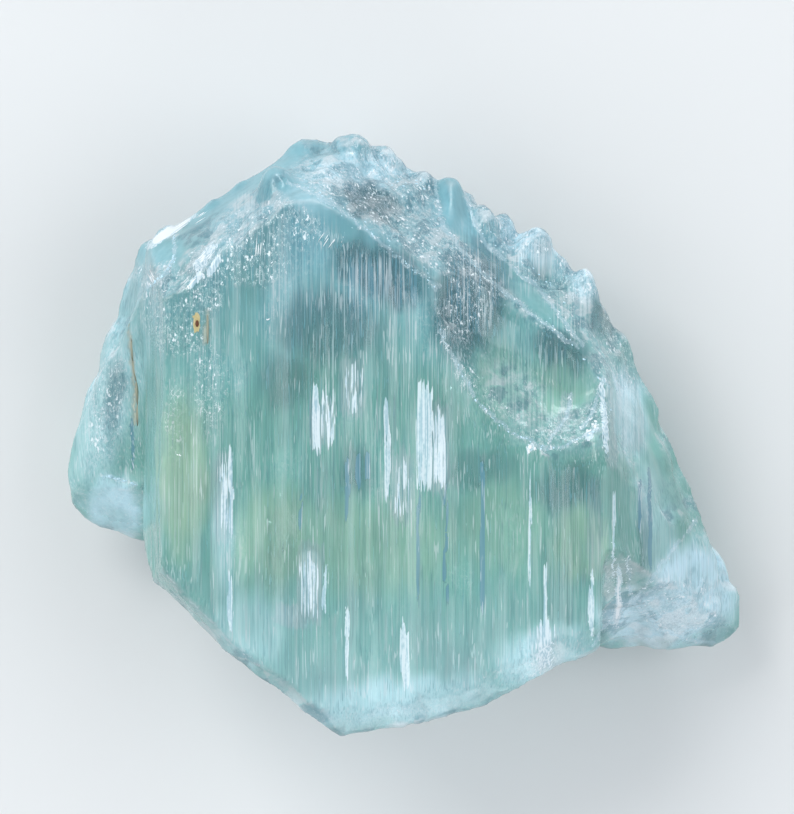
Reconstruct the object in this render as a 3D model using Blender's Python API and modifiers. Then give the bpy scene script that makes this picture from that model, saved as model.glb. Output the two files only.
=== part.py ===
"""An etched aquamarine crystal, one grown piece, lying on a prism face of its back.

The crystal's c axis runs along Y, with the etched termination towards +Y and the broken root
towards -Y. Its broad striated prism face looks up, along +Z. Z = 0 is the surface it lies on.
All sizes below are millimetres.
"""

import math

import bmesh
import bpy
from mathutils import Euler, Matrix, Vector, noise

MM = 0.001
UP = Vector((0, 0, 1))

# Driving dimensions
NAME = "aquamarine_crystal"
FRONT = 24.0  # height of the broad prism face over the back one
BLANK = 90.0  # side of the blank that every block is cut from
GRAIN = 0.4  # voxel size at which the blocks grow together
TRIANGLES = 9600
BASE_CUT = 0.15  # how much of the face it lies on is cut away, to leave it flat

# Each block is the space inside a ring of edges, listed anticlockwise as seen from above: x and y
# of a corner, then the height of the level edge that starts there, and how steeply the facets above
# and below that edge lean, in degrees from level.
PRISM = [
    (-22.7, -13.7, 14.0, 74, 62),
    (-20.8, -15.8, 21.6, 50, 66),
    (-17.2, -18.4, 22.4, 42, 64),
    (-5.5, -26.5, 22.0, 28, 58),
    (2.6, -25.2, 22.0, 28, 56),
    (7.2, -24.1, 22.0, 30, 60),
    (17.6, -18.6, 18.0, 88, 88),
    (18.7, 4.0, 18.0, 86, 80),
    (17.2, 12.2, 11.4, 59, 50),
    (4.4, 21.6, 11.8, 62, 52),
    (-4.2, 26.0, 12.6, 66, 48),
    (-9.0, 25.4, 13.0, 73, 50),
    (-19.1, 19.1, 15.0, 64, 56),
    (-22.4, 16.7, 14.4, 80, 60),
    (-22.7, 11.0, 14.0, 80, 62),
]
PRISM_TOP = [
    ((0.0, 0.0, FRONT), (0.012, -0.02, 1.0)),
    ((-4.3, 19.0, 24.0), (0.33, 0.47, 0.83)),
    ((-20.4, 14.4, 24.1), (-0.34, 0.26, 0.9)),
]
LEFT_WING = [
    (-30.3, -4.6, 7.6, 60, 48),
    (-28.9, -7.3, 7.0, 58, 50),
    (-26.6, -9.0, 6.6, 47, 54),
    (-22.8, -10.0, 6.4, 47, 60),
    (-12.0, -11.5, 6.0, 60, 70),
    (-12.0, 18.5, 9.0, 70, 60),
    (-22.9, 17.3, 10.6, 80, 50),
    (-27.5, 5.0, 10.0, 78, 46),
    (-29.9, -1.5, 9.0, 70, 44),
    (-30.5, -3.2, 8.2, 64, 44),
]
LEFT_WING_TOP = [((-27.2, -2.0, 11.4), (-0.3, -0.25, 1.0)), ((-28.0, 0.0, 11.2), (-0.75, -0.1, 1.0))]
RIGHT_WING = [
    (10.0, -19.4, 9.0, 60, 64),
    (19.8, -18.8, 8.0, 60, 62),
    (27.6, -17.0, 8.6, 60, 60),
    (28.6, -12.2, 9.2, 66, 54),
    (25.8, -5.0, 9.8, 66, 52),
    (22.7, 3.4, 10.4, 64, 50),
    (21.4, 5.8, 11.0, 62, 50),
    (18.0, 11.6, 11.6, 60, 52),
    (15.2, 15.0, 12.0, 60, 60),
    (8.0, 13.0, 12.0, 70, 70),
]
RIGHT_WING_TOP = [
    ((18.0, 0.0, FRONT - 0.4), (0.03, -0.02, 1.0)),
    ((18.2, 0.0, FRONT - 0.6), (0.83, 0.03, 0.56)),
    ((19.0, 6.0, 20.6), (0.5, 0.42, 0.76)),
]
RIGHT_FOOT = [
    (14.0, -18.0, 6.0, 70, 60),
    (18.6, -19.3, 6.4, 56, 50),
    (24.0, -20.2, 6.4, 52, 46),
    (28.2, -19.3, 6.6, 50, 44),
    (30.1, -17.8, 6.8, 54, 44),
    (30.3, -15.0, 7.0, 52, 46),
    (27.0, -8.6, 7.4, 56, 54),
    (20.0, -5.0, 8.0, 60, 60),
    (14.0, -8.0, 8.0, 60, 60),
]
RIGHT_FOOT_TOP = [((25.5, -15.4, 11.4), (0.36, -0.2, 1.0)), ((22.0, -12.5, 15.5), (0.45, 0.3, 1.0))]

# The stepped ridge between the termination's upper facet and the bowl: a long low wedge, with a
# smooth three-sided fin at its upper end.
RIDGE = [
    (1.6, 16.6, 15.0, 48, 60),
    (15.4, 3.8, 14.6, 50, 60),
    (18.4, 4.4, 14.0, 60, 60),
    (18.0, 8.2, 13.0, 52, 60),
    (5.6, 19.0, 12.0, 54, 60),
    (1.4, 20.4, 13.0, 60, 60),
]
RIDGE_TOP = [((8.6, 12.6, 21.0), (0.2, 0.12, 1.0))]
FIN = [
    (2.2, 16.6, 14.0, 76, 60),
    (7.4, 16.2, 13.0, 60, 60),
    (5.0, 22.4, 12.4, 70, 50),
    (3.6, 22.6, 12.4, 70, 50),
]
FIN_TOP = [((4.4, 18.0, 19.8), (0.3, 0.85, 1.0))]

# The level striated step behind the ridge: a block taken out down to its floor.
TERRACE = [
    (6.4, 19.0, 20.0, 90, 90),
    (14.6, 11.2, 20.0, 90, 90),
    (22.0, 14.0, 20.0, 90, 90),
    (14.0, 26.0, 20.0, 90, 90),
    (8.2, 23.0, 20.0, 90, 90),
]
TERRACE_FLOOR = [((10.0, 15.4, 14.4), (-0.1, 0.02, -1.0))]

# Rounded growth hillocks along the crest: tip x and y, height of the axis, radius, length.
HILLOCKS = [
    (-10.9, 23.6, 20.2, 1.7, 5.6),
    (-8.6, 25.8, 12.8, 2.3, 7.0),
    (-4.5, 26.4, 13.2, 2.6, 8.0),
    (-2.9, 25.6, 11.6, 1.2, 4.6),
    (-1.6, 25.1, 12.2, 1.3, 4.8),
    (-0.1, 24.5, 11.4, 1.3, 4.8),
    (1.7, 23.5, 12.6, 1.2, 4.4),
    (4.0, 22.4, 12.2, 1.8, 5.2),
    (5.7, 21.4, 11.0, 1.1, 4.4),
    (7.3, 20.4, 12.6, 1.5, 5.4),
    (8.8, 19.6, 11.2, 1.2, 4.6),
    (11.5, 18.3, 12.6, 2.0, 6.4),
    (14.0, 15.7, 12.0, 1.4, 5.0),
    (15.8, 14.6, 13.0, 1.6, 6.0),
    (16.7, 12.4, 14.0, 1.4, 6.0),
    (-20.4, 18.2, 15.2, 1.4, 4.6),
    (-16.4, 20.6, 15.0, 1.2, 4.6),
    (-14.0, 22.2, 14.6, 1.0, 4.2),
]

# Shell-shaped breaks: centre, the three radii, and the turn about Z in degrees.
SCOOPS = [
    ((7.4, 11.0, 27.4), (4.0, 6.4, 7.4), 38),
    ((10.6, 7.2, 27.6), (6.8, 4.6, 8.8), -30),
    ((14.4, 3.6, 26.4), (5.4, 4.4, 7.8), -12),
    ((8.2, 4.2, 26.2), (3.2, 3.6, 4.6), 20),
    ((-2.2, 21.2, 22.0), (3.6, 1.7, 4.0), -38),
    ((-21.4, 15.4, 30.6), (4.6, 5.2, 9.4), 30),
    ((20.6, 11.6, 25.0), (4.4, 7.0, 7.6), 30),
    ((26.5, -1.6, 19.0), (3.0, 7.0, 7.0), 22),
    ((-26.6, -12.6, 0.6), (8.4, 5.4, 5.2), 18),
    ((23.8, -24.8, 3.4), (9.0, 6.4, 8.0), 4),
    ((-13.6, -27.6, 4.0), (9.6, 6.4, 11.0), -34),
    ((10.2, -29.0, 2.0), (11.4, 6.8, 10.0), 26),
    ((31.0, -6.0, -2.6), (7.0, 9.0, 7.6), 24),
    ((-32.6, 7.0, -3.4), (7.0, 9.4, 7.0), -18),
    ((9.6, 26.4, -1.0), (13.0, 6.0, 8.6), -36),
    ((-15.0, 27.4, -1.6), (11.0, 5.4, 9.4), 30),
]

# Stretches that are smooth as glass, as strips: x and y of each end, and half the width.
POLISHED = [
    (-9.8, 21.4, 3.4, 12.7, 1.0),
    (3.4, 16.9, 16.0, 5.2, 1.0),
    (-19.0, 18.6, -9.6, 24.4, 1.0),
    (-26.6, -6.6, -23.8, -7.2, 2.0),
    (-22.3, 15.6, -20.0, 15.8, 1.1),
    (3.4, 21.4, 5.2, 18.4, 1.2),
    (12.4, 2.2, 15.6, 3.4, 2.4),
]


def clear_scene():
    for thing in list(bpy.data.objects):
        bpy.data.objects.remove(thing)


def collection(name, shown):
    made = bpy.data.collections.new(name)
    bpy.context.scene.collection.children.link(made)
    made.hide_render = not shown
    return made


def add_object(name, bm, group):
    mesh = bpy.data.meshes.new(name)
    bm.to_mesh(mesh)
    bm.free()
    made = bpy.data.objects.new(name, mesh)
    group.objects.link(made)
    if group.hide_render:
        made.hide_render = True
        made.display_type = "WIRE"
    return made


def cut(bm, point, outward):
    """Cuts off what lies past a plane, and closes the solid with a flat facet."""
    bmesh.ops.bisect_plane(
        bm, geom=bm.verts[:] + bm.edges[:] + bm.faces[:], plane_co=point, plane_no=outward, clear_outer=True
    )
    bmesh.ops.holes_fill(bm, edges=[edge for edge in bm.edges if edge.is_boundary])


def block(name, ring, tops, group):
    """A convex block: one facet above and one below each edge of its ring, under its top facets."""
    bm = bmesh.new()
    bmesh.ops.create_cube(bm, size=BLANK * MM)
    for index, (x, y, z, above, below) in enumerate(ring):
        start = Vector((x, y, z)) * MM
        next_x, next_y = ring[(index + 1) % len(ring)][:2]
        inward = UP.cross(Vector((next_x - x, next_y - y, 0))).normalized()
        along = inward.cross(UP)
        rise = math.radians(above)
        fall = math.radians(below)
        cut(bm, start, along.cross(inward * math.cos(rise) + UP * math.sin(rise)))
        cut(bm, start, (inward * math.cos(fall) - UP * math.sin(fall)).cross(along))
    for point, outward in tops:
        cut(bm, Vector(point) * MM, Vector(outward))
    cut(bm, Vector((0, 0, 0)), -UP)
    return add_object(name, bm, group)


def hillock(index, x, y, z, radius, length, group):
    """A blunt many-sided nugget, long along the crystal's own axis."""
    bm = bmesh.new()
    bmesh.ops.create_icosphere(bm, subdivisions=2, radius=MM)
    place = Matrix.Translation(Vector((x, y - length / 2, z)) * MM)
    size = Matrix.Diagonal((radius, length / 2, radius * 1.3, 1))
    bm.transform(place @ size @ Matrix.Rotation(math.radians(23 * index), 4, "Y"))
    return add_object(f"hillock_{index + 1}", bm, group)


def scoop(index, centre, radii, turn, group):
    bm = bmesh.new()
    bmesh.ops.create_icosphere(bm, subdivisions=4, radius=MM)
    size = Matrix.Diagonal((*radii, 1))
    bm.transform(Matrix.Translation(Vector(centre) * MM) @ Matrix.Rotation(math.radians(turn), 4, "Z") @ size)
    return add_object(f"scoop_{index + 1}", bm, group)


def evaluated(thing):
    graph = bpy.context.evaluated_depsgraph_get()
    return bpy.data.meshes.new_from_object(thing.evaluated_get(graph))


def grown_together(body, blocks, scoops):
    """The body with the other blocks joined on and the scoops taken out, at an even grain."""
    for operation, others in (("UNION", blocks), ("DIFFERENCE", scoops)):
        for other in others:
            boolean = body.modifiers.new(other.name, "BOOLEAN")
            boolean.operation = operation
            boolean.object = other
            boolean.solver = "EXACT"
    remesh = body.modifiers.new("grain", "REMESH")
    remesh.mode = "VOXEL"
    remesh.voxel_size = GRAIN * MM
    return evaluated(body)


def smooth_step(low, high, value):
    share = min(max((value - low) / (high - low), 0.0), 1.0)
    return share * share * (3 - 2 * share)


def growth_steps(place, width, run, seed):
    """-1 to 1 in straight strips along Y with sharp sides, each rising and dying away along its length."""
    column = math.floor(place.x / width + 0.35 * place.z / width + seed)
    level = noise.cell(Vector((column, seed, 0.5)))
    return level - 0.5 + noise.noise(Vector((7.3 * column, place.y / run, seed)))


def off_strip(place, x1, y1, x2, y2, half_width):
    """0 on a polished strip and 1 well away from it."""
    start = Vector((x1, y1))
    run = Vector((x2, y2)) - start
    spot = Vector((place.x, place.y)) - start
    share = min(max(spot.dot(run) / run.length_squared, 0.0), 1.0)
    return smooth_step(half_width, half_width + 1.2, (spot - run * share).length)


def relief(place, normal):
    """How far the surface stands out here, in millimetres, by the kind of face it is."""
    prism = 1 - smooth_step(0.2, 0.5, abs(normal.y))
    etched = smooth_step(0.15, 0.45, normal.y)
    broken = smooth_step(0.25, 0.5, -normal.y)
    steps = 0.26 * growth_steps(place, 1.9, 13, 3) + 0.16 * growth_steps(place, 0.9, 7, 11)
    nearest = noise.voronoi(Vector((place.x / 2.6, place.y / 3.4, place.z / 2.6)))[0][0]
    hills = 0.3 - 1.3 * nearest * nearest
    lumps = noise.fractal(place / 5.5, 0.9, 2.0, 3) * 0.3
    rough = prism * steps + etched * hills + broken * lumps + 0.14 * noise.noise(place / 2.4)
    if place.z > 0.3 * FRONT:
        for strip in POLISHED:
            rough *= off_strip(place, *strip)
    return rough


def carve(mesh):
    """Moves the surface by its relief, which dies away near the face that the crystal lies on."""
    bm = bmesh.new()
    bm.from_mesh(mesh)
    bm.normal_update()
    shifts = [(vert, vert.normal * relief(vert.co / MM, vert.normal) * MM) for vert in bm.verts]
    for vert, shift in shifts:
        vert.co += shift * smooth_step(0.3, 2.0, vert.co.z / MM)
    bm.to_mesh(mesh)
    bm.free()


def settle(mesh):
    """Cuts the lowest face dead flat, then puts it at Z = 0 with the outline's middle over the origin."""
    bm = bmesh.new()
    bm.from_mesh(mesh)
    cut(bm, UP * BASE_CUT * MM, -UP)
    low, high = ([end(vert.co[axis] for vert in bm.verts) for axis in range(3)] for end in (min, max))
    bm.transform(Matrix.Translation((-(low[0] + high[0]) / 2, -(low[1] + high[1]) / 2, -low[2])))
    bm.to_mesh(mesh)
    bm.free()


def aquamarine():
    made = bpy.data.materials.new("aquamarine")
    made.use_nodes = True
    shader = made.node_tree.nodes["Principled BSDF"]
    shader.inputs["Base Color"].default_value = (0.42, 0.72, 0.70, 1)
    shader.inputs["Roughness"].default_value = 0.18
    shader.inputs["Metallic"].default_value = 0.0
    shader.inputs["IOR"].default_value = 1.575
    return made


def recentred(mesh):
    """The middle of the outline goes over the origin, with the lowest face at Z = 0."""
    low, high = ([end(vert.co[axis] for vert in mesh.vertices) for axis in range(3)] for end in (min, max))
    mesh.transform(Matrix.Translation((-(low[0] + high[0]) / 2, -(low[1] + high[1]) / 2, -low[2])))


def build_crystal():
    shown = collection("aquamarine", True)
    tools = collection("blocks and scoops", False)
    body = block("prism", PRISM, PRISM_TOP, tools)
    blocks = [
        block("left_wing", LEFT_WING, LEFT_WING_TOP, tools),
        block("right_wing", RIGHT_WING, RIGHT_WING_TOP, tools),
        block("right_foot", RIGHT_FOOT, RIGHT_FOOT_TOP, tools),
        block("ridge", RIDGE, RIDGE_TOP, tools),
        block("fin", FIN, FIN_TOP, tools),
    ]
    blocks += [hillock(index, *hill, tools) for index, hill in enumerate(HILLOCKS)]
    scoops = [block("terrace", TERRACE, TERRACE_FLOOR, tools)]
    scoops += [scoop(index, *shape, tools) for index, shape in enumerate(SCOOPS)]
    crystal = bpy.data.objects.new(NAME, grown_together(body, blocks, scoops))
    shown.objects.link(crystal)
    carve(crystal.data)
    decimate = crystal.modifiers.new("facets", "DECIMATE")
    decimate.ratio = TRIANGLES / (2 * len(crystal.data.polygons))
    crystal.data = evaluated(crystal)
    crystal.modifiers.clear()
    settle(crystal.data)
    crystal.data.materials.clear()
    crystal.data.materials.append(aquamarine())


clear_scene()
build_crystal()
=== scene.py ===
"""Etched aquamarine crystal: its striated and etched skin, what shows inside it, and a plain stage.

The crystal lies on the prism face of its back. Its axis runs along Y, with the etched termination
towards +Y and the broken root towards -Y, and its broad striated face looks up, along +Z.
"""

import math
import random
from types import SimpleNamespace

import bmesh
import bpy
import numpy as np
from bpy.props import FloatProperty, FloatVectorProperty, IntProperty, PointerProperty
from mathutils import Matrix, Vector, noise
from mathutils.bvhtree import BVHTree


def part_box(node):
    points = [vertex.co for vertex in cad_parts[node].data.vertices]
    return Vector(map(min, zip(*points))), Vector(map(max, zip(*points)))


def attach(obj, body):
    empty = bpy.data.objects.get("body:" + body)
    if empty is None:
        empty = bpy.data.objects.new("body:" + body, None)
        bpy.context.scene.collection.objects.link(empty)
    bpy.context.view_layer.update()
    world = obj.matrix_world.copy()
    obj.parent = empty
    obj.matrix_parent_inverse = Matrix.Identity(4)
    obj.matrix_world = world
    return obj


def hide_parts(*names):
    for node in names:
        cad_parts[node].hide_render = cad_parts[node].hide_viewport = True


bl_info = {
    "name": "Aquamarine Crystal",
    "version": (1, 0, 0),
    "blender": (4, 5, 0),
    "location": "View3D > Sidebar > Aquamarine",
    "description": "Finishes an etched aquamarine crystal and sets it on a plain stage",
    "category": "Add Mesh",
}

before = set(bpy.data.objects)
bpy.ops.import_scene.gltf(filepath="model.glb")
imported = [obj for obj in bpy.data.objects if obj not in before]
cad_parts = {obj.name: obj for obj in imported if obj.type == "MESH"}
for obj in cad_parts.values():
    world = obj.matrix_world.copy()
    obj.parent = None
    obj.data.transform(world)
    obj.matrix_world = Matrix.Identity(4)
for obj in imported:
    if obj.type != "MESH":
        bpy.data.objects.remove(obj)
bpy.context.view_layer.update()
NODE = "aquamarine_crystal"
BODY = "root"
MM = 0.001
UP = Vector((0, 0, 1))
LOW, HIGH = (Vector(corner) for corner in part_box(NODE))

# Stretches that are smooth as glass, as strips: x and y of each end and half the width, in mm.
POLISHED = [
    (-10.0, 21.6, 3.2, 12.8, 0.8), (4.8, 18.4, 15.4, 7.5, 0.7), (-19.2, 18.8, -9.8, 24.6, 1.0),
    (-26.8, -6.4, -24.0, -7.0, 2.0), (-22.5, 15.8, -20.2, 16.0, 1.1), (3.7, 22.8, 4.7, 18.8, 1.2),
    (13.0, 2.8, 15.2, 3.6, 1.0), (20.0, 3.0, 21.6, -3.0, 1.2),
]

# Bright cleavage flashes: x and y of each end, width and depth under the skin, in mm, and slivers.
FLASHES = [
    (-22.9, 16.0, -17.6, 19.8, 0.9, 0.0, 12), (-19.0, 18.2, -16.4, 19.8, 0.5, 0.0, 4),
    (-17.3, 16.4, -16.5, 13.6, 1.2, 0.5, 8), (-18.4, 14.2, -16.4, 16.4, 0.8, 0.0, 9),
    (-19.6, 12.4, -17.4, 14.6, 0.7, 0.0, 6), (-22.6, 14.6, -21.6, 12.8, 1.2, 0.0, 7),
    (-8.2, 15.8, -6.5, 18.2, 0.25, 0.0, 2), (-7.5, 15.8, -6.0, 18.2, 0.25, 0.0, 2),
    (-6.9, 15.8, -5.4, 17.9, 0.25, 0.0, 2), (-5.5, 16.2, -5.0, 17.8, 0.6, 0.0, 4),
    (-11.8, 18.8, -11.8, 21.0, 0.25, 0.0, 3), (-14.2, 18.6, -14.0, 14.6, 1.0, 0.0, 7),
    (-12.6, 17.6, -12.8, 15.0, 0.5, 0.0, 4), (1.8, 4.2, 1.8, -5.4, 1.3, 0.45, 13),
    (3.2, 2.8, 3.1, -4.5, 1.2, 0.55, 11), (-1.8, 3.8, -1.8, -5.4, 0.35, 0.35, 5),
    (-7.8, 5.4, -7.8, -1.4, 1.1, 0.7, 10), (-4.4, 4.6, -4.4, 1.2, 1.7, 0.9, 9),
    (-15.5, -1.6, -15.5, -9.2, 1.0, 0.8, 8), (-15.0, -3.0, -15.0, -8.8, 0.3, 0.3, 4),
    (-15.1, -12.2, -15.2, -16.8, 0.35, 0.35, 4), (-5.0, -14.6, -5.0, -22.4, 0.3, 0.4, 5),
    (0.0, -16.6, 0.1, -21.8, 1.0, 0.5, 9), (12.2, -14.6, 12.2, -20.2, 0.8, 0.5, 8),
    (16.5, -11.8, 16.6, -18.0, 0.5, 0.5, 6), (18.8, -12.2, 18.8, -17.0, 0.5, 0.4, 5),
    (17.6, 3.0, 18.0, -4.2, 1.4, 0.5, 10), (-6.6, -4.8, -6.5, -11.6, 0.25, 0.4, 3),
    (-21.4, 4.0, -21.2, -2.2, 0.6, 1.2, 4), (8.8, 14.4, 12.6, 11.8, 1.2, 0.6, 9),
]

# White grains near the skin: x, y and radius, in mm.
GRAINS = [
    (10.8, -1.2, 0.34), (11.3, -1.3, 0.22), (16.1, 0.2, 0.28), (16.6, 0.8, 0.24), (-11.8, 10.0, 0.14),
    (-19.6, -1.8, 0.16),
]

# Dark growth tubes: x and y of each end, radius and depth under the skin, in mm.
DARK_TUBES = [
    (6.8, -0.6, 6.9, -15.4, 0.11, 0.6), (21.2, -4.2, 21.6, -11.8, 0.13, 0.7),
    (20.4, -3.8, 20.6, -7.6, 0.09, 0.6), (-4.4, -1.4, -4.3, -4.9, 0.22, 0.8),
    (-3.4, -1.8, -3.3, -4.1, 0.2, 0.9), (-4.9, -0.2, -4.8, -3.6, 0.1, 0.6),
    (1.3, -5.8, 1.3, -17.2, 0.07, 0.6), (3.6, -4.8, 3.7, -16.4, 0.06, 0.6),
    (-8.9, -4.4, -8.9, -7.8, 0.08, 0.6),
]

# The milky cloud that curls up at both ends: x and y of its route and its half width, in mm.
CLOUD = [
    (-10.9, -13.2, 0.8), (-10.5, -15.2, 1.0), (-9.3, -16.0, 1.0),
    (-8.0, -15.6, 1.3), (-7.9, -13.4, 1.1), (-8.2, -10.6, 0.8),
]
CLOUD_WHITE = (0.86, 0.90, 0.98)
CLOUD_FLAKES = 420

# Where bright specks gather: x, y and the spread along X and Y, in mm, and how many.
SPECKS = [
    (-21.8, 13.6, 1.6, 2.0, 40), (-17.4, 12.6, 1.8, 3.6, 70), (-19.6, 9.0, 3.0, 2.6, 50),
    (-12.4, 14.6, 3.0, 2.6, 40), (-17.0, 3.8, 1.6, 5.0, 40), (4.8, 10.8, 2.4, 3.2, 90),
    (5.6, 4.6, 1.6, 2.0, 50), (-6.0, 22.0, 3.4, 2.2, 60), (9.2, 18.4, 3.6, 2.4, 80),
    (14.6, 12.2, 2.4, 3.4, 70), (13.0, 0.4, 3.4, 1.6, 70), (-10.6, -9.0, 1.8, 3.6, 60),
    (24.6, -14.4, 3.6, 2.6, 40), (-25.6, 2.0, 1.6, 4.4, 40), (4.0, -8.0, 8.0, 9.0, 60),
]

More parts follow.
